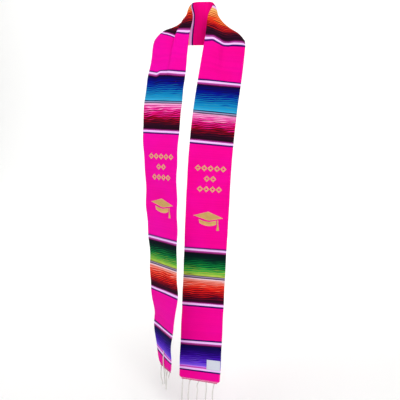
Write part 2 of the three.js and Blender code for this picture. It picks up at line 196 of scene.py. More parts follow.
# Small waves that a hanging cloth keeps: their heights, lengths and where they start, in
# metres, then where in a wave each half begins, and how it turns over the width, in radians.
waves = dict(height=0.0007, edgeHeight=0.0012, length=0.17, edgeLength=0.083, start=0.12,
             left=1.3, right=0.2, lean=2.2, over=3.1)


def waveOf(side, along, across):
    t = across / cloth["width"]
    phase = 2 * math.pi * along
    shift = waves[side]
    broad = np.sin(phase / waves["length"] + shift + waves["lean"] * t)
    broad = broad * np.cos(waves["over"] * t + shift)
    edge = np.abs(2 * t) ** 3 * np.sin(phase / waves["edgeLength"] + shift * 2 + np.sign(t))
    below = smooth((along - waves["start"]) / waves["start"])
    return below * (waves["height"] * broad + waves["edgeHeight"] * edge)


def middleOfCloth(side, along, across):
    w = cloth["width"]
    rise, tuck = foldOf(side, along, across)
    v, u, h = bendStrip(side, along, across - tuck, -rise - waveOf(side, along, across))
    height = -u / w
    pull = drawIn[side] * np.exp(-(((height - drawIn["height"]) / drawIn["spread"]) ** 2))
    push = flare[side] * smooth((height - flare["start"]) / (flare["end"] - flare["start"]))
    x = v * (1 - pull + push)
    out = smooth((x / w - shoulder["start"]) / (shoulder["end"] - shoulder["start"]))
    level = np.exp(-(((height - shoulder["height"]) / shoulder["spread"]) ** 2))
    z = w * (height + shoulder[side] * out * level)
    return np.stack([signs[side] * x, cloth["thickness"] / 2 - h, z], axis=-1)


# Points that stand off the middle of the cloth, from flat arrays of places.
def onCloth(side, along, across, lift):
    along, across, lift = (np.asarray(a, float) for a in np.broadcast_arrays(along, across, lift))
    step = 0.0005
    points = middleOfCloth(side, along, across)
    ahead = middleOfCloth(side, along + step, across) - points
    beside = middleOfCloth(side, along, across + step) - points
    outward = np.cross(ahead, beside) * signs[side]
    outward = outward / np.linalg.norm(outward, axis=-1, keepdims=True)
    return points + outward * lift[..., None]


def slipOf(side, along, across):
    spots = slipPlaces[side]
    rows = threadSlips[side]
    places = [row[0] / 1000 for row in rows]
    given = [row[1:] for row in rows]
    full = np.array([row if len(row) == len(spots) else np.interp(spots, (0, 1), row)
                     for row in given]) / 1000
    share = across / cloth["width"] + 0.5
    total = 0
    for i, unit in enumerate(np.eye(len(spots))):
        slips = np.interp(along, places, full[:, i])
        for aside in slipBlend:
            total = total + np.interp(share + aside, spots, unit) * slips / len(slipBlend)
    return total


# Colours and materials.

def linear(rgb, alpha=1.0):
    found = []
    for value in rgb:
        c = value / 255
        found.append(c / 12.92 if c <= 0.04045 else ((c + 0.055) / 1.055) ** 2.4)
    return (*found, alpha)


class Nodes:
    def __init__(self, name):
        self.material = bpy.data.materials.new(name)
        self.material.use_nodes = True
        self.tree = self.material.node_tree
        self.shader = self.tree.nodes["Principled BSDF"]

    def plug(self, socket, value):
        if isinstance(value, bpy.types.NodeSocket):
            self.tree.links.new(value, socket)
        else:
            socket.default_value = value

    # Adds a node with its settings, fills its inputs and gives one of its outputs.
    def add(self, kind, inputs, output=0, **settings):
        node = self.tree.nodes.new("ShaderNode" + kind)
        for name, value in settings.items():
            setattr(node, name, value)
        for key, value in inputs.items():
            self.plug(node.inputs[key], value)
        return node.outputs[output]

    def math(self, operation, a, b=0.0):
        return self.add("Math", {0: a, 1: b}, operation=operation)

    def plus(self, a, b):
        return self.math("ADD", a, b)

    def minus(self, a, b):
        return self.math("SUBTRACT", a, b)

    def times(self, a, b):
        return self.math("MULTIPLY", a, b)

    def over(self, a, b):
        return self.math("DIVIDE", a, b)

    def uv(self, name):
        split = self.tree.nodes.new("ShaderNodeSeparateXYZ")
        self.plug(split.inputs[0], self.add("UVMap", {}, uv_map=name))
        return split.outputs[0], split.outputs[1]

    def join(self, x, y, z=0.0):
        return self.add("CombineXYZ", {0: x, 1: y, 2: z})

    def noise(self, vector, scale, detail=2.0, roughness=0.5):
        return self.add("TexNoise", {"Vector": vector, "Scale": scale, "Detail": detail,
                                     "Roughness": roughness})

    def white(self, value):
        return self.add("TexWhiteNoise", {"W": value}, noise_dimensions="1D")

    def place(self):
        return self.add("TexCoord", {}, "Object")

    def mix(self, share, a, b):
        return self.add("Mix", {0: share, 6: a, 7: b}, 2, data_type="RGBA")

    def shade(self, colour, factor):
        return self.add("VectorMath", {0: colour, "Scale": factor}, operation="SCALE")

    def ramp(self, value, stops):
        node = self.tree.nodes.new("ShaderNodeValToRGB")
        self.plug(node.inputs[0], value)
        elements = node.color_ramp.elements
        elements[0].position, elements[0].color = stops[0]
        elements[1].position, elements[1].color = stops[-1]
        for position, colour in stops[1:-1]:
            elements.new(position).color = colour
        return node.outputs[0]

    def bump(self, height, distance):
        relief = self.add("Bump", {"Strength": 1.0, "Distance": distance, "Height": height})
        self.plug(self.shader.inputs["Normal"], relief)

    def finish(self, colour, roughness, **others):
        self.plug(self.shader.inputs["Base Color"], colour)
        self.plug(self.shader.inputs["Roughness"], roughness)
        for name, value in others.items():
            self.plug(self.shader.inputs[name.replace("_", " ")], value)
        return self.material


# Named colours of the cross stripes. The neck's pink is painted light: the pink made redder, as it
# looks in the shade inside the collar, and brighter to offset that shade.
colours = dict(
    pink=(240, 0, 144), magenta=(238, 4, 174), neckPink=(250, 0, 138), purple=(38, 0, 92),
    lilac=(242, 194, 253), mauve=(170, 56, 142), maroon=(76, 4, 52),
)
# The cross stripes from the middle of the strip to an end: where each one ends, in
# millimetres, and its colour or the list of colours that a shaded band runs through.
# Threads of neighbouring colours alternate in a shaded band.
stripes = [
    (42.6, "neckPink"), (47, "purple"), (53, "lilac"),
    (122, [(255, 204, 124), (250, 146, 66), (240, 78, 34), (222, 28, 22), (124, 4, 24),
           (52, 8, 34), (32, 6, 26)]),
    (125, "maroon"), (128.4, "mauve"), (133.1, "lilac"), (137.4, "purple"), (224.4, "pink"),
    (228.5, "purple"), (233.5, "lilac"), (237.5, "mauve"), (239.5, "maroon"),
    (299, [(14, 4, 52), (8, 4, 108), (2, 6, 144), (0, 44, 150), (6, 100, 172), (10, 134, 192),
           (22, 148, 202), (60, 174, 220)]),
    (301.8, (10, 18, 62)), (304.4, (152, 152, 192)), (307, (40, 14, 58)),
    (370, [(248, 178, 220), (243, 78, 172), (236, 28, 146), (222, 8, 108), (160, 0, 36),
           (112, 0, 20), (60, 6, 34), (42, 8, 30), (30, 8, 24)]),
    (372, "maroon"), (374.5, "mauve"), (379.5, "lilac"), (383.2, "purple"), (647.4, "pink"),
    (651.5, "purple"), (656.5, "lilac"), (660, "mauve"), (662.5, "maroon"),
    (721, [(4, 14, 26), (2, 26, 30), (0, 42, 30), (0, 74, 44), (0, 126, 60), (30, 158, 64),
           (116, 184, 58), (200, 216, 90)]),
    (723.4, (26, 22, 22)), (725.8, (158, 142, 170)), (728.4, (54, 38, 70)),
    (731, (238, 206, 220)),
    (790, [(238, 166, 156), (244, 94, 70), (238, 50, 34), (224, 28, 24), (170, 8, 20),
           (112, 2, 28), (62, 6, 36), (36, 8, 30)]),
    (792, "maroon"), (794, "mauve"), (799.5, "lilac"), (803.6, "purple"), (888.9, "pink"),
    (893, "purple"), (898.5, "lilac"), (902.5, "mauve"), (905, "maroon"),
    (959.5, [(12, 4, 66), (18, 2, 92), (40, 2, 122), (52, 4, 150), (72, 22, 190), (104, 58, 222),
             (128, 88, 232)]),
    (962, (196, 122, 236)), (965.5, (198, 62, 176)), (971, "lilac"), (975, "purple"),
    (1030, "pink"),
]
# In millimetres: a row's height, a lump's width, how far neighbouring rows differ along a
# shaded band in turns and at random, how much borders and rows wander, the slant, where the
# end starts with its painted edge highlight, its width, a colour's inset and the whole reach.
weave = dict(row=2.4, warp=2.4, mixing=8.0, odd=9.0, wander=0.5, drift=9.0, slant=0.06,
             endFrom=976.0, hemFrom=995.6, rim=1.6, inset=0.2, reach=1040.0)
# The relief in metres, how dark every second row is, how much of the pink is magenta on each
# half, how strong the painted edge highlight at the end is and its colour, and shares of light
# that rows, ridges and fibres add.
tones = dict(relief=0.0004, shadow=0.42, magentaLeft=0.5, magentaRight=0.1, edgeHighlight=0.3,
             edgeHighlightColour=(255, 150, 214), base=0.82, row=0.06, ridge=0.12, fibre=0.1, rough=0.78)
# Scales of the noises, for each millimetre or row.
grains = dict(border=0.045, streak=0.03, streakRow=5.1, dye=0.012, fibre=2.2, fibreHeight=0.35)
maxStops = 30


def stripeSpans():
    start = 0
    for end, paint in stripes:
        yield start, end, paint
        start = end


def isShaded(paint):
    return isinstance(paint, list)


# One group of ramps for the whole pattern, each with as many stops as a ramp can hold.
def stripeColour(nodes, place):
    parts, current = [], []
    inset = weave["inset"]
    for start, end, paint in stripeSpans():
        shades = paint if isShaded(paint) else [colours.get(paint, paint)]
        count = max(2, len(shades))
        stops = []
        for i in range(count):
            at = start + inset + (end - start - 2 * inset) * (i / (count - 1))
            stops.append((at, shades[min(i, len(shades) - 1)]))
        if len(current) + len(stops) > maxStops:
            parts.append(current)
            current = []
        current = current + stops
    parts.append(current)
    found = None
    for stops in parts:
        low, high = stops[0][0], stops[-1][0]
        listed = [((at - low) / (high - low), linear(rgb)) for at, rgb in stops]
        colour = nodes.ramp(nodes.over(nodes.minus(place, low), high - low), listed)
        if found is None:
            found = colour
        else:
            found = nodes.mix(nodes.math("GREATER_THAN", place, low - inset), found, colour)
    return found


# A ramp that is 1 in the chosen stripes, with soft ends that many millimetres long.
def stripeMask(nodes, place, chosen, soft):
    stops = []
    for start, end, paint in stripeSpans():
        if chosen(paint):
            for at, value in ((start, 0), (start + soft, 1), (end - soft, 1), (end, 0)):
                stops.append((at / weave["reach"], (value, value, value, 1)))
    return nodes.ramp(nodes.over(place, weave["reach"]), stops)


def clothMaterial():
    nodes = Nodes("clothWeave")
    acrossM, alongM = nodes.uv("weave")
    across = nodes.times(acrossM, 1000.0)
    signed = nodes.times(alongM, 1000.0)
    side = nodes.math("SIGN", signed)
    wander = nodes.noise(nodes.join(across, signed), grains["border"], 3.0)
    wander = nodes.times(nodes.minus(wander, 0.5), weave["wander"] * 2)
    place = nodes.plus(nodes.math("ABSOLUTE", signed), wander)
    # how far from the borders of a shaded band, so that no thread takes a colour beyond it
    mask = stripeMask(nodes, place, isShaded, weave["mixing"] + weave["odd"])
    inBand = stripeMask(nodes, place, isShaded, weave["row"])
    drift = nodes.noise(nodes.join(nodes.times(across, 0.7), signed, 40.0), grains["border"], 2.0)
    drift = nodes.times(nodes.minus(drift, 0.5), weave["drift"])
    slant = nodes.times(nodes.times(across, weave["slant"]), side)
    line = nodes.plus(place, nodes.times(nodes.plus(drift, slant), mask))
    row = nodes.math("FLOOR", nodes.over(line, weave["row"]))
    half = nodes.times(nodes.math("MODULO", row, 2.0), 0.5)
    # every second row runs ahead and the others behind, and each row more here and less there
    streak = nodes.join(nodes.times(across, grains["streak"]),
                        nodes.times(row, grains["streakRow"]), side)
    streak = nodes.times(nodes.minus(nodes.noise(streak, 1.0, 1.0), 0.5), 4.0)
    streak = nodes.math("MAXIMUM", nodes.math("MINIMUM", streak, 1.0), -1.0)
    jump = nodes.times(nodes.minus(nodes.times(half, 4.0), 1.0), weave["mixing"])
    jump = nodes.times(nodes.plus(jump, nodes.times(streak, weave["odd"])), mask)
    colour = stripeColour(nodes, nodes.plus(place, jump))
    # the pink dye is uneven
    pinks = stripeMask(nodes, place, lambda paint: paint == "pink", 0.5)
    dye = nodes.minus(nodes.noise(nodes.join(across, signed), grains["dye"], 2.0), 0.5)
    left = nodes.minus(0.5, nodes.times(side, 0.5))
    share = nodes.times(left, tones["magentaLeft"] - tones["magentaRight"])
    share = nodes.plus(nodes.plus(share, tones["magentaRight"]), dye)
    colour = nodes.mix(nodes.times(share, pinks), colour, linear(colours["magenta"]))
    # each row of the weave is a line of small lumps, set over by half in the next row
    lump = nodes.times(nodes.plus(nodes.over(across, weave["warp"]), half), math.pi)
    lump = nodes.math("ABSOLUTE", nodes.math("SINE", lump))
    ridge = nodes.times(nodes.over(line, weave["row"]), math.pi)
    ridge = nodes.math("ABSOLUTE", nodes.math("SINE", ridge))
    height = nodes.times(nodes.math("POWER", ridge, 0.5), nodes.math("POWER", lump, 0.4))
    fibre = nodes.join(across, nodes.times(place, 3.0))
    fibre = nodes.noise(fibre, grains["fibre"], 4.0, 0.65)
    height = nodes.plus(height, nodes.times(fibre, grains["fibreHeight"]))
    tone = nodes.times(nodes.white(nodes.plus(row, 77.0)), tones["row"])
    # painted shade: the grooves between the rows are darker than their crests
    tone = nodes.plus(tone, nodes.times(nodes.math("POWER", ridge, 0.6), tones["ridge"]))
    tone = nodes.plus(tone, nodes.times(fibre, tones["fibre"]))
    dark = nodes.times(half, 2.0 * tones["shadow"])
    dark = nodes.times(dark, nodes.plus(nodes.times(streak, 0.5), 0.6))
    dark = nodes.times(dark, inBand)
    colour = nodes.shade(colour, nodes.minus(nodes.plus(tone, tones["base"]), dark))
    # painted highlight: the selvedge of the end and its hem get a paler line, the light that
    # their fuzzy yarn ends catch
    middle = cloth["width"] * 500
    fromMiddle = nodes.math("ABSOLUTE", nodes.minus(across, middle))
    rim = nodes.math("GREATER_THAN", fromMiddle, middle - weave["rim"])
    rim = nodes.times(rim, nodes.math("GREATER_THAN", place, weave["endFrom"]))
    rim = nodes.math("MAXIMUM", rim, nodes.math("GREATER_THAN", place, weave["hemFrom"]))
    # the painted highlight along the end's edges is mixed into the colour
    colour = nodes.mix(nodes.times(rim, tones["edgeHighlight"]), colour, linear(tones["edgeHighlightColour"]))
    nodes.bump(height, tones["relief"])
    rough = nodes.plus(tones["rough"], nodes.times(fibre, 0.2))
    return nodes.finish(colour, rough, Sheen_Weight=0.01, Sheen_Roughness=0.4,
                        Specular_IOR_Level=0.06)


# Spots on a thread: fine and broad ones for each metre, and the depth of the fine ones.
threadSpots = dict(fine=900.0, broad=900.0 / 14, depth=0.00012)


def threadMaterial(name, rgb, shadow, roughness, metallic=0.0, sheen=0.2):
    nodes = Nodes(name)
    spots = nodes.noise(nodes.place(), threadSpots["fine"], 3.0, 0.6)
    broad = nodes.noise(nodes.place(), threadSpots["broad"], 2.0, 0.5)
    share = nodes.plus(nodes.times(spots, 0.7), nodes.times(broad, 0.5))
    colour = nodes.mix(nodes.minus(share, 0.1), linear(shadow), linear(rgb))
    nodes.bump(spots, threadSpots["depth"])
    rough = nodes.plus(roughness - 0.1, nodes.times(spots, 0.2))
    return nodes.finish(colour, rough, Metallic=metallic, Sheen_Weight=sheen,
                        Sheen_Roughness=0.5)


# The label's cloth: turns of its slanting and its fine ribs for each metre.
satin = dict(colour=(210, 214, 228), twill=9000.0, fine=9000.0, spots=700.0, depth=0.00008)


def labelMaterial():
    nodes = Nodes("labelSatin")
    x, y = nodes.uv("weave")
    twill = nodes.math("SINE", nodes.times(nodes.plus(x, y), satin["twill"]))
    fine = nodes.math("SINE", nodes.times(y, satin["fine"]))
    height = nodes.plus(nodes.times(twill, 0.5), nodes.times(fine, 0.5))
    spots = nodes.noise(nodes.place(), satin["spots"], 3.0)
    # painted shade: the grooves of the twill and of the fine ribs are a little darker
    tone = nodes.plus(0.86, nodes.times(height, 0.04))
    tone = nodes.plus(tone, nodes.times(spots, 0.18))
    colour = nodes.shade(linear(satin["colour"])[:3], tone)
    nodes.bump(height, satin["depth"])
    return nodes.finish(colour, nodes.plus(0.42, nodes.times(spots, 0.2)), Sheen_Weight=0.2)


materials = dict(
    cloth=clothMaterial(),
    edge=threadMaterial("edgeThread", (240, 20, 150), (150, 0, 80), 0.8),
    string=threadMaterial("stringCotton", (243, 242, 238), (186, 184, 178), 0.85),
    label=labelMaterial(),
    labelThread=threadMaterial("labelThread", (226, 222, 236), (170, 166, 184), 0.6),
    gold=threadMaterial("goldThread", (246, 206, 130), (190, 146, 74), 0.42, 0.2, 0.1),
    peach=threadMaterial("peachThread", (250, 200, 142), (206, 142, 90), 0.45, 0.1, 0.1),
    goldEdge=threadMaterial("goldEdgeThread", (255, 222, 160), (210, 164, 96), 0.42, 0.15, 0.1),
)


def makeMesh(name, points, faces, materialNames, indices=None, uvs=None):
    mesh = bpy.data.meshes.new(name)
    mesh.from_pydata([tuple(p) for p in points], [], [tuple(int(i) for i in f) for f in faces])
    for key in materialNames:
        mesh.materials.append(materials[key])
    if indices is not None:
        mesh.polygons.foreach_set("material_index", indices)
    if uvs is not None:
        layer = mesh.uv_layers.new(name="weave")
        corners = np.empty(len(mesh.loops), dtype=np.int32)
        mesh.loops.foreach_get("vertex_index", corners)
        layer.data.foreach_set("uv", np.asarray(uvs, float)[corners].ravel())
    mesh.polygons.foreach_set("use_smooth", [True] * len(mesh.polygons))
    mesh.validate()
    mesh.update()
    piece = bpy.data.objects.new(name, mesh)
    bpy.context.scene.collection.objects.link(piece)
    return piece


def dress(piece, node):
    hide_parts(node)
    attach(piece, "root")
    return piece


# The cloth.

# Rows in each stretch and the panels' step in metres; below the roll the rows are square to
# the strip from this share of the width on. Then the columns as shares of half the width,
# the rounding of the edges as shares of the thickness, and the end's stretch in metres.
grid = dict(beforeRoll=26, inRoll=60, afterRoll=34, panelStep=0.0042, square=0.75, inner=41,
            body=0.985, rims=(0.992, 0.997, 1), edgeRound=0.6, edgeThin=0.92, end=0.03)


# Lines of the grid from a place on the neck edge to one on the outer edge. They fan out
# to the slant of the roll and back to square below it.
def gridRows(side):
    w = cloth["width"]
    roll = collarRolls[side]
    square = (roll["outerTo"] + grid["square"]) * w
    last = armLength(side)
    count = int((last - square) / grid["panelStep"])
    stations = [
        (0, 0, grid["beforeRoll"]),
        (roll["innerFrom"] * w, roll["outerFrom"] * w, grid["inRoll"]),
        (roll["innerTo"] * w, roll["outerTo"] * w, grid["afterRoll"]),
        (square, square, count),
        (last, last, 0),
    ]
    rows = []
    for (innerA, outerA, steps), (innerB, outerB, _) in zip(stations, stations[1:]):
        for i in range(steps):
            share = i / steps
            rows.append((innerA + (innerB - innerA) * share, outerA + (outerB - outerA) * share))
    rows.append((last, last))
    return np.array(rows)


def cornerCut(across):
    into = np.abs(across) - (cloth["width"] / 2 - cloth["corner"])
    into = np.clip(into, 0, cloth["corner"])
    return cloth["corner"] - np.sqrt(cloth["corner"] ** 2 - into**2)


# The faces of a sheet whose points stand in rows, with as many behind them, and its border.
def sheetFaces(rows, columns):
    count = rows * columns
    index = np.arange(count).reshape(rows, columns)
    a, b, c, d = index[:-1, :-1], index[1:, :-1], index[1:, 1:], index[:-1, 1:]
    rim = np.concatenate([index[:, 0], index[-1, 1:], index[-2::-1, -1], index[0, -2:0:-1]])
    after = np.roll(rim, -1)
    quads = [(a, b, c, d), (a + count, d + count, c + count, b + count),
             (rim, rim + count, after + count, after)]
    return np.concatenate([np.stack(quad, -1).reshape(-1, 4) for quad in quads])


def makeCloth():
    half = cloth["width"] / 2
    inner = np.linspace(-1, 1, grid["inner"]) * grid["body"]
    rims = np.array(grid["rims"])
    shares = np.unique(np.concatenate([inner, -rims, rims]))
    outer, inside, uvRows = [], [], []
    for side in ("left", "right"):
        rows = gridRows(side)
        if side == "left":
            rows = rows[1:][::-1]
        across = np.tile(shares * half, (len(rows), 1))
        mix = (shares + 1) / 2
        along = rows[:, :1] * (1 - mix) + rows[:, 1:] * mix
        near = smooth((along - (armLength(side) - grid["end"])) / grid["end"])
        along = along - cornerCut(across) * near
        # the long edges and the ends are rounded
        toEdge = np.minimum(half - np.abs(across), armLength(side) - cornerCut(across) - along)
        roundness = np.clip(toEdge / (cloth["thickness"] * grid["edgeRound"]), 0, 1)
        thick = cloth["thickness"] / 2 * np.sqrt(1 - (1 - roundness) ** 2 * grid["edgeThin"])
        pattern = along - signs[side] * cloth["slip"] + slipOf(side, along, across)
        pattern = pattern * signs[side]
        for lift, store in ((thick, outer), (-thick, inside)):
            flat = (a.ravel() for a in (along, across, lift))
            store.append(onCloth(side, *flat).reshape(*along.shape, 3))
        uvRows.append(np.stack([across + half, pattern], axis=-1))
    outer, inside, uv = (np.concatenate(rows) for rows in (outer, inside, uvRows))
    points = np.concatenate([outer.reshape(-1, 3), inside.reshape(-1, 3)])
    uvs = np.concatenate([uv.reshape(-1, 2)] * 2)
    faces = sheetFaces(*outer.shape[:2])
    return makeMesh("stoleCloth", points, faces, ["cloth"], uvs=uvs)


clothPiece = dress(makeCloth(), "stole_cloth")
print("stage: cloth made,", len(clothPiece.data.polygons), "faces")


# The faces of a tube whose rings of points follow each other, with both ends closed.
def tubeFaces(start, count, sides):
    rings = start + np.arange(count * sides).reshape(count, sides)
    after = np.roll(rings, -1, axis=1)
    quads = np.stack([rings[:-1], after[:-1], after[1:], rings[1:]], -1)
    return [*quads.reshape(-1, 4).tolist(), rings[0, ::-1].tolist(), rings[-1].tolist()]


# Tubes from world-space paths: a list of (points, radii) with one radius per point.
def tubeMesh(paths, sides=6):
    points, faces = [], []
    for path, radii in paths:
        path = np.asarray(path, float)
        tangents = np.gradient(path, axis=0)
        tangents /= np.linalg.norm(tangents, axis=1, keepdims=True) + 1e-12
        guide = np.array([0.0, 1.0, 0.0]) if abs(tangents[0][1]) < 0.8 else np.array([1.0, 0, 0])
        start = len(points)
        count = len(path)
        for i in range(count):
            first = np.cross(tangents[i], guide)
            first /= np.linalg.norm(first)
            second = np.cross(tangents[i], first)
            guide = np.cross(first, tangents[i])
            for k in range(sides):
                turn = 2 * math.pi * k / sides
                ring = first * math.cos(turn) + second * math.sin(turn)
                points.append(path[i] + ring * radii[i])
        faces += tubeFaces(start, count, sides)
    return points, faces


# Threads sewn on the cloth: a list of flat paths of (along, across, lift) in metres.
def sewnThreads(side, paths, radius, sides=5):
    flat, faces = [], []
    for path in paths:
        path = np.asarray(path, float)
        step = np.gradient(path[:, :2], axis=0)
        step /= np.linalg.norm(step, axis=1, keepdims=True) + 1e-12
        beside = np.stack([-step[:, 1], step[:, 0]], axis=-1)
        start = len(flat)
        count = len(path)
        for i in range(count):
            r = radius * (0.35 if i in (0, count - 1) else 1.0)
            for k in range(sides):
                turn = 2 * math.pi * k / sides
                out = beside[i] * math.cos(turn) * r
                flat.append((path[i][0] + out[0], path[i][1] + out[1],
                             path[i][2] + math.sin(turn) * r * 0.8))
        faces += tubeFaces(start, count, sides)
    flat = np.array(flat)
    return onCloth(side, flat[:, 0], flat[:, 1], flat[:, 2]), faces


# One mesh of several parts: points, faces and the number of each part's material.
def makeJoined(name, parts, materialNames, uvs=None):
    points, faces, indices = [], [], []
    for partPoints, partFaces, index in parts:
        start = len(points)
        points.extend(partPoints)
        faces.extend(tuple(i + start for i in f) for f in partFaces)
        indices.extend([index] * len(partFaces))
    return makeMesh(name, points, faces, materialNames, indices, uvs)


# The fringes.

# Lengths and radii in metres: the twisted plies that spread and thin out at their end, the
# frayed tuft, the knot's windings, and the twisted edge that carries the knots.
fringe = dict(length=0.062, plies=3, plyRadius=0.00076, twist=0.0085, swayDepth=0.6,
              edgeGap=0.0004, edgeDepth=0.003, inFront=0.0031, crossing=0.0022,
              spread=0.5, spreadFrom=0.008, thin=0.55, thinFrom=0.006, start=0.002,
              points=90, pointsInFront=160)
tuft = dict(length=0.007, strands=7, radius=0.0002, start=0.0008, lean=0.0022)
knot = dict(radius=0.00132, thread=0.00085, turns=1.6, points=26, drop=14)
hemEdge = dict(plies=2, twist=0.0042, spread=0.00065, thread=0.0007, points=330)
seeds = dict(left=11, right=23)
# Place as a share of half the knotted edge, length, sways off the plumb line at even steps
# as shares of the length, then for a string that starts in front of the cloth how far up
# its top lies, as a share of the width, and the top's place across.
strings = {
    "left": [
        (-0.88, 0.25, (0, -0.02, -0.03, -0.04, -0.04), 0, 0),
        (-0.46, 0.85, (-0.03, -0.06, -0.07, -0.07, -0.06), 0, 0),
        (-0.04, 0.97, (0.01, 0.02, 0.03, 0.02, 0), 0, 0),
        (0.12, 0.72, (0, 0.01, 0.01, 0.02, 0.02), 0.42, -0.17),
        (0.8, 0.92, (-0.02, -0.03, -0.02, 0.01, 0.03), 0, 0),
    ],
    "right": [
        (-0.92, 1.0, (-0.024, -0.032, -0.04, -0.048, -0.052), 0, 0),
        (-0.5, 0.95, (-0.05, -0.068, -0.08, -0.09, -0.09), 0, 0),
        (-0.02, 1.0, (-0.07, -0.055, -0.065, -0.08, -0.075), 0, 0),
        (0.37, 0.97, (0.016, 0.012, 0, -0.01, -0.008), 0, 0),
        (0.85, 1.0, (-0.045, -0.07, -0.075, -0.062, -0.055), 0, 0),
    ],
}


def curveThrough(points, count):
    p = np.asarray(points, float)
    p = np.vstack([2 * p[0] - p[1], p, 2 * p[-1] - p[-2]])
    spots = np.linspace(0, len(p) - 3, count)
    first = np.minimum(spots.astype(int), len(p) - 4)
    t = (spots - first)[:, None]
    a, b, c, d = (p[first + i] for i in range(4))
    bend = (2 * a - 5 * b + 4 * c - d) * t**2 + (3 * b - a - 3 * c + d) * t**3
    return b + 0.5 * ((c - a) * t + bend)


# The line of one string, and the share of it at which it leaves the knotted edge.
def stringLine(side, placeAcross, length, sways, climb, topPlace):
    reach = cloth["width"] / 2 - cloth["corner"]
    end = armLength(side)
    points = []
    if climb:
        share = np.array([0, 0.3, 0.6, 0.9])
        across = (topPlace + (placeAcross - topPlace) * share) * reach
        along = end - climb * cloth["width"] * (1 - share)
        points += list(onCloth(side, along, across, fringe["inFront"]))
    start = end + fringe["edgeGap"] + fringe["edgeDepth"] / 2
    lift = fringe["crossing"] if climb else 0.0
    top = onCloth(side, [start], [placeAcross * reach], [lift])[0]
    points.append(top)
    step = fringe["length"] * length / len(sways)
    for i, share in enumerate(sways, 1):
        sway = share * fringe["length"]
        points.append(top + np.array([sway, sway * fringe["swayDepth"], -step * i]))
    knotAt = (len(points) - len(sways) - 0.85) / (len(points) - 1)
    return curveThrough(points, fringe["pointsInFront" if climb else "points"]), knotAt


def makeFringe(side):
    random.seed(seeds[side])
    tubes = []
    for spec in strings[side]:
        line, knotAt = stringLine(side, *spec)
        steps = np.linalg.norm(np.diff(line, axis=0), axis=1)
        walked = np.concatenate([[0], np.cumsum(steps)])
        toEnd = walked[-1] - walked
        for ply in range(fringe["plies"]):
            angle = 2 * math.pi * (ply / fringe["plies"] + walked / fringe["twist"])
            spread = 1.02 + fringe["spread"] * smooth(1 - toEnd / fringe["spreadFrom"])
            spread = fringe["plyRadius"] * spread
            offset = np.stack([np.cos(angle), np.sin(angle), np.zeros_like(angle)], -1)
            thin = fringe["thin"] * smooth(1 - toEnd / fringe["thinFrom"])
            radii = fringe["plyRadius"] * (1 - thin)
            radii = radii * (0.45 + 0.55 * smooth(walked / fringe["start"]))
            tubes.append((line + offset * spread[:, None], radii))
        # the string's end is frayed
        for _ in range(tuft["strands"]):
            aside, lean = (np.array([random.uniform(-1, 1), random.uniform(-1, 1), 0])
                           for _ in range(2))
            t = np.linspace(0, 1, 7)[:, None]
            reach = tuft["length"] * random.uniform(0.6, 1.0)
            path = line[-6] + aside * tuft["start"] + lean * tuft["lean"] * t**1.5
            path = path + np.array([0, 0, -reach]) * t
            tubes.append((path, tuft["radius"] * (1 - 0.6 * t[:, 0])))
        # a round knot under the edge of the cloth
        turns = np.linspace(0, 2 * math.pi * knot["turns"], knot["points"])
        centre = line[int(knotAt * (len(line) - 1))]
        ring = np.stack([np.cos(turns), np.sin(turns), -turns / knot["drop"]], -1)
        tubes.append((centre + ring * knot["radius"], np.full(len(turns), knot["thread"])))
    cotton = tubeMesh(tubes)
    # a twisted edge of cloth-coloured thread between the strings' knots
    reach = cloth["width"] / 2 - cloth["corner"]
    across = np.linspace(-reach, reach, hemEdge["points"])
    middle = armLength(side) + fringe["edgeGap"] + fringe["edgeDepth"] / 2
    radii = np.full(len(across), hemEdge["thread"])
    paths = []
    for ply in range(hemEdge["plies"]):
        angle = math.pi * ply + across / hemEdge["twist"] * 2 * math.pi
        along = middle + np.cos(angle) * hemEdge["spread"]
        paths.append((onCloth(side, along, across, np.sin(angle) * hemEdge["spread"]), radii))
    edge = tubeMesh(paths)
    parts = [(*cotton, 0), (*edge, 1)]
    return makeJoined("fringe" + side.capitalize(), parts, ["string", "edge"])


for side in signs:
    dress(makeFringe(side), "fringe_" + side)
print("stage: fringes made")


# The stitched ornaments.

# Threads in metres: how thick, how far apart, the longest, the step of their points, how far
# they stand off the middle of the cloth and how much they arch; then the rings and steps of
# the pad that lies under them.
stitch = dict(radius=0.00026, spacing=0.00044, longest=0.0055, step=0.0018, seat=0.0012,
              dome=0.00035, padRings=(1.0, 0.66, 0.33), padSteps=8)
ornament = dict(height=0.016, thread=0.0032, across=0.003)
rowPlaces = [(0.447, 5), (0.474, 2), (0.501, 4)]
cap = dict(width=0.073, place=0.567, rim=0.0013, rimLift=0.0003, rimSteps=4)


def flatPlaces(side, middle, points):
    points = np.asarray(points, float)
    along = middle * cloth["length"] / 2 + signs[side] * cloth["slip"]
    across = signs[side] * (ornament["across"] + points[:, 0])
    return along + points[:, 1] - slipOf(side, along, across), across


# Heights along a thread that arches from the seat and back, in even steps.
def archOver(steps, extra=0.0):
    arch = np.sin(np.linspace(0, math.pi, steps)) ** 0.5
    return stitch["seat"] + extra + stitch["dome"] * arch


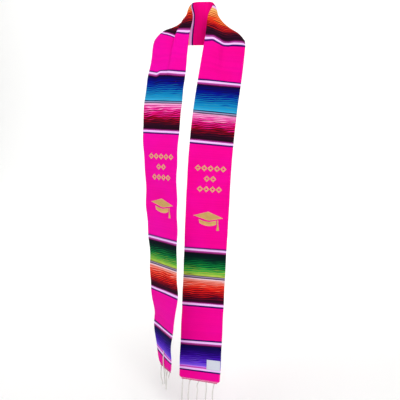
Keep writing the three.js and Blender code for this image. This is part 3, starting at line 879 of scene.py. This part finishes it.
# Fills a polygon with rows of parallel threads at an angle, in the flat ornament's plane.
def fillRows(corners, angle, longest):
    corners = np.asarray(corners, float)
    ring = np.stack(turned(*corners.T, -angle), -1)
    low, high = ring[:, 1].min(), ring[:, 1].max()
    count = max(1, int((high - low) / stitch["spacing"]))
    found = []
    for i in range(count):
        level = low + (high - low) * (i + 0.5) / count
        hits = []
        for (x0, y0), (x1, y1) in zip(ring, np.roll(ring, -1, axis=0)):
            if (y0 > level) != (y1 > level):
                hits.append(x0 + (level - y0) / (y1 - y0) * (x1 - x0))
        hits.sort()
        for start, end in zip(hits[::2], hits[1::2]):
            length = end - start
            pieces = max(1, math.ceil(length / longest))
            offset = (i % 3) / 3 / pieces if pieces > 1 else 0.0
            cuts = [0.0] + [min(1, (k + 1) / pieces - offset) for k in range(pieces - 1)] + [1.0]
            for a, b in zip(cuts, cuts[1:]):
                steps = max(3, int((b - a) * length / stitch["step"]) + 2)
                t = np.linspace(a, b, steps)
                across, down = turned(start + length * t, level, angle)
                found.append(np.stack([across, down, archOver(steps)], -1))
    return found


def sewRows(side, middle, rows):
    paths = []
    for row in rows:
        along, across = flatPlaces(side, middle, row)
        paths.append(np.stack([along, across, row[:, 2]], -1))
    return sewnThreads(side, paths, stitch["radius"])


# A thin closed pad under the stitches, from convex corners.
def padUnder(side, middle, corners):
    corners = np.asarray(corners, float)
    centre = corners.mean(axis=0)
    rings = []
    for share in stitch["padRings"]:
        ring = []
        for a, b in zip(corners, np.roll(corners, -1, axis=0)):
            for t in np.linspace(0, 1, stitch["padSteps"] + 1)[:-1]:
                ring.append(centre + (a + (b - a) * t - centre) * share)
        rings.append(ring)
    count = len(rings[0])
    flat = np.array([p for ring in rings for p in ring] + [centre])
    along, across = flatPlaces(side, middle, flat)
    low = cloth["thickness"] / 2 + cloth["seat"]
    top = onCloth(side, along, across, stitch["seat"])
    bottom = onCloth(side, along, across, low)
    points = np.concatenate([top, bottom])
    size = len(flat)
    faces = []
    for base, flip in ((0, False), (size, True)):
        for r in range(len(rings) - 1):
            for i in range(count):
                j = (i + 1) % count
                quad = (base + r * count + i, base + r * count + j,
                        base + (r + 1) * count + j, base + (r + 1) * count + i)
                faces.append(quad[::-1] if flip else quad)
        for i in range(count):
            last = base + (len(rings) - 1) * count
            tri = (last + i, last + (i + 1) % count, base + size - 1)
            faces.append(tri[::-1] if flip else tri)
    for i in range(count):
        j = (i + 1) % count
        faces.append((i, size + i, size + j, j))
    return points, faces


def lozengeRims(count):
    h = ornament["height"] / 2
    t = ornament["thread"]
    rims = []
    for i in range(count):
        middle = (-count / 2 + i + 0.5) * ornament["height"]
        tips = [(h, 0), (0, h), (-h, 0), (0, -h)]
        for (x0, y0), (x1, y1) in zip(tips, tips[1:] + tips[:1]):
            k = 1 - t * math.sqrt(2) / h
            rims.append([(middle + x0, y0), (middle + x1, y1), (middle + x1 * k, y1 * k),
                         (middle + x0 * k, y0 * k)])
    return rims


def makeLozenges(side, row, middle, count):
    threads, parts = [], []
    for rim in lozengeRims(count):
        (x0, y0), (x1, y1) = rim[0], rim[1]
        angle = math.atan2(y1 - y0, x1 - x0) + math.pi / 2
        threads += fillRows(rim, angle, 1.0)
        parts.append((*padUnder(side, middle, rim), 0))
    parts.append((*sewRows(side, middle, threads), 0))
    return makeJoined("ornamentRow" + str(row) + side.capitalize(), parts, ["peach"])


def bezier(a, b, c, count=7):
    t = np.linspace(0, 1, count)[1:, None]
    a, b, c = (np.array(p, float) for p in (a, b, c))
    return [tuple(p) for p in (1 - t) ** 2 * a + 2 * t * (1 - t) * b + t**2 * c]


capShapes = {
    "board": [(-0.5, 0), (0, -0.15), (0.52, 0.055), (0.13, 0.14)]
    + bezier((0.13, 0.14), (0.05, 0.16), (-0.05, 0.135)),
    "crown": [(-0.31, 0.13)] + bezier((-0.31, 0.13), (-0.1, 0.205), (0.06, 0.205))
    + [(0.29, 0.15), (0.3, 0.28)] + bezier((0.3, 0.28), (0.17, 0.355), (0, 0.345))
    + bezier((0, 0.345), (-0.18, 0.325), (-0.29, 0.25)),
    "tassel": [(0.325, 0.14), (0.36, 0.13), (0.375, 0.31), (0.41, 0.485), (0.31, 0.495),
               (0.335, 0.31)],
}
capStitches = dict(board=0.32, crown=1.45, tassel=1.5)


# A border of short threads set square to an outline.
def borderRows(corners):
    found = []
    ring = np.asarray(corners, float)
    middle = ring.mean(axis=0)
    for a, b in zip(ring, np.roll(ring, -1, axis=0)):
        length = np.linalg.norm(b - a)
        count = max(1, int(length / stitch["spacing"]))
        normal = np.array([-(b - a)[1], (b - a)[0]]) / (length + 1e-12)
        if normal @ (middle - a) < 0:
            normal = -normal
        for i in range(count):
            p = a + (b - a) * (i + 0.5) / count
            line = p + normal * cap["rim"] * np.linspace(0, 1, cap["rimSteps"])[:, None]
            found.append(np.column_stack([line, archOver(cap["rimSteps"], cap["rimLift"])]))
    return found


def makeCapPart(side, part):
    corners = [(x * cap["width"], y * cap["width"]) for x, y in capShapes[part]]
    threads = fillRows(corners, capStitches[part], stitch["longest"])
    parts = [(*sewRows(side, cap["place"], threads), 0)]
    if part != "tassel":
        parts.append((*sewRows(side, cap["place"], borderRows(corners)), 1))
    halves = [corners]
    if part == "crown":  # a hollow outline, so its pad is in two halves that have none
        halves = [corners[:7] + corners[-6:], corners[6:len(corners) // 2 + 4]]
    for half in halves:
        parts.append((*padUnder(side, cap["place"], half), 0))
    return makeJoined("cap" + part.capitalize() + side.capitalize(), parts, ["gold", "goldEdge"])


for side in signs:
    for row, (middle, count) in enumerate(rowPlaces, 1):
        piece = makeLozenges(side, row, middle, count)
        dress(piece, f"ornament_row_{row}_{side}")
    for part in capShapes:
        piece = makeCapPart(side, part)
        dress(piece, f"cap_{part}_{side}")
print("stage: ornaments made")


# The label.

# Sizes in metres and the place as a share of the half strip; the swell stands up between
# the seams and the dent lies under them.
label = dict(width=0.036, height=0.026, thickness=0.0007, margin=0.001, place=0.9625,
             inset=0.0014, stitchLength=0.0019, stitchGap=0.0009, stitchRadius=0.0002,
             stitchArch=0.00018, swell=0.0003, swellReach=0.004, dent=0.00015, dentReach=0.0005,
             columns=25, lines=19)


def makeLabel():
    side = "right"
    middleAcross = cloth["width"] / 2 - label["margin"] - label["width"] / 2
    middleAlong = label["place"] * cloth["length"] / 2 + signs[side] * cloth["slip"]
    low = cloth["thickness"] / 2 + cloth["seat"]

    def flat(x, y):
        x, y = np.asarray(x, float), np.asarray(y, float)
        across = middleAcross + x
        return middleAlong + y - slipOf(side, middleAlong, across), across

    columns = np.linspace(-0.5, 0.5, label["columns"]) * label["width"]
    lines = np.linspace(-0.5, 0.5, label["lines"]) * label["height"]
    x, y = (a.ravel() for a in np.meshgrid(columns, lines))
    along, across = flat(x, y)
    toEdge = np.minimum(label["width"] / 2 - np.abs(x), label["height"] / 2 - np.abs(y))
    swell = label["swell"] * smooth(toEdge / label["swellReach"])
    dent = label["dent"] * np.exp(-((toEdge - label["inset"]) / label["dentReach"]) ** 2)
    top = onCloth(side, along, across, low + label["thickness"] + (swell - dent))
    bottom = onCloth(side, along, across, low)
    patch = (np.concatenate([top, bottom]), sheetFaces(len(lines), len(columns)), 0)
    # a line of running stitches inside the border
    paths = []
    halfX, halfY = label["width"] / 2 - label["inset"], label["height"] / 2 - label["inset"]
    pitch = label["stitchLength"] + label["stitchGap"]
    for x0, y0, x1, y1 in ((-halfX, -halfY, halfX, -halfY), (halfX, -halfY, halfX, halfY),
                           (halfX, halfY, -halfX, halfY), (-halfX, halfY, -halfX, -halfY)):
        length = math.hypot(x1 - x0, y1 - y0)
        for i in range(int(length / pitch)):
            t = np.linspace(i * pitch, i * pitch + label["stitchLength"], 4) / length
            along, across = flat(x0 + (x1 - x0) * t, y0 + (y1 - y0) * t)
            arch = label["stitchArch"] * np.sin(np.linspace(0, math.pi, 4))
            paths.append(np.stack([along, across, low + label["thickness"] + arch], -1))
    seam = sewnThreads(side, paths, label["stitchRadius"])
    uvs = np.zeros((2 * len(x) + len(seam[0]), 2))
    uvs[:2 * len(x)] = np.concatenate([np.stack([x, y], -1)] * 2)
    return makeJoined("label", [patch, (*seam, 1)], ["label", "labelThread"], uvs)


labelPiece = dress(makeLabel(), "label")
print("stage: label made")


# Floor, light and camera.

# The paper lies on the floor and sweeps up behind the stole, far enough for a view from there.
stage = dict(depth=-1.02, size=7.0, back=3.6, curve=1.2, top=3.4, steps=16,
             colour=(252, 252, 251), air=0.38)


def makeStage():
    materials["paper"] = Nodes("studioPaper").finish(linear(stage["colour"]), 0.9)
    size, back, curve, depth = (stage[key] for key in ("size", "back", "curve", "depth"))
    profile = [(-size, depth)]
    for turn in np.linspace(0, math.pi / 2, stage["steps"] + 1):
        profile.append((back - curve * (1 - math.sin(turn)), depth + curve * (1 - math.cos(turn))))
    profile.append((back, stage["top"]))
    points = [(x, y, z) for y, z in profile for x in (-size, size)]
    faces = [(2 * i, 2 * i + 1, 2 * i + 3, 2 * i + 2) for i in range(len(profile) - 1)]
    makeMesh("studioFloor", points, faces, ["paper"])


onStole = (0, -0.15, -0.45)
lights = [
    dict(name="keyLight", at=(1.1, -2.0, 1.3), aim=onStole, size=1.6, power=42),
    dict(name="fillLight", at=(-1.8, -1.8, 0.4), aim=onStole, size=2.2, power=22),
    dict(name="topLight", at=(0.1, 0.5, 2.2), aim=onStole, size=1.8, power=20),
    dict(name="paperLight", at=(-0.6, 1.1, 1.7), aim=(-0.9, 3.6, 0.4), size=2.6, power=62),
]


def makeLights():
    for light in lights:
        data = bpy.data.lights.new(light["name"], "AREA")
        data.energy = light["power"]
        data.size = light["size"]
        lamp = bpy.data.objects.new(light["name"], data)
        lamp.location = light["at"]
        aim = Vector(light["aim"]) - Vector(light["at"])
        lamp.rotation_mode = "QUATERNION"
        lamp.rotation_quaternion = aim.to_track_quat("-Z", "Y")
        bpy.context.scene.collection.objects.link(lamp)
    world = bpy.data.worlds.new("studioAir")
    world.use_nodes = True
    background = world.node_tree.nodes["Background"]
    background.inputs[0].default_value = (1, 1, 1, 1)
    background.inputs[1].default_value = stage["air"]
    bpy.context.scene.world = world


# The eye in metres, its turn to the side and down in degrees, and the focal length and the
# frame in points of the picture.
view = dict(eye=(0.34902, -1.68628, -0.081), azimuth=12.0, pitch=12.8, focal=636.0, frame=400.0,
            sensor=36.0)


def makeCamera():
    data = bpy.data.cameras.new("photoCamera")
    data.sensor_width = view["sensor"]
    data.lens = view["focal"] / view["frame"] * view["sensor"]
    camera = bpy.data.objects.new("photoCamera", data)
    a, p = math.radians(view["azimuth"]), math.radians(view["pitch"])
    right = Vector((math.cos(a), math.sin(a), 0))
    ahead = Vector((-math.sin(a) * math.cos(p), math.cos(a) * math.cos(p), -math.sin(p)))
    up = right.cross(ahead)
    turn = Matrix((right, up, -ahead)).transposed()
    camera.matrix_world = Matrix.Translation(view["eye"]) @ turn.to_4x4()
    bpy.context.scene.collection.objects.link(camera)
    bpy.context.scene.camera = camera


bpy.context.scene.view_settings.view_transform = "Standard"
makeStage()
makeLights()
makeCamera()
print("stage: floor, lights and camera made")
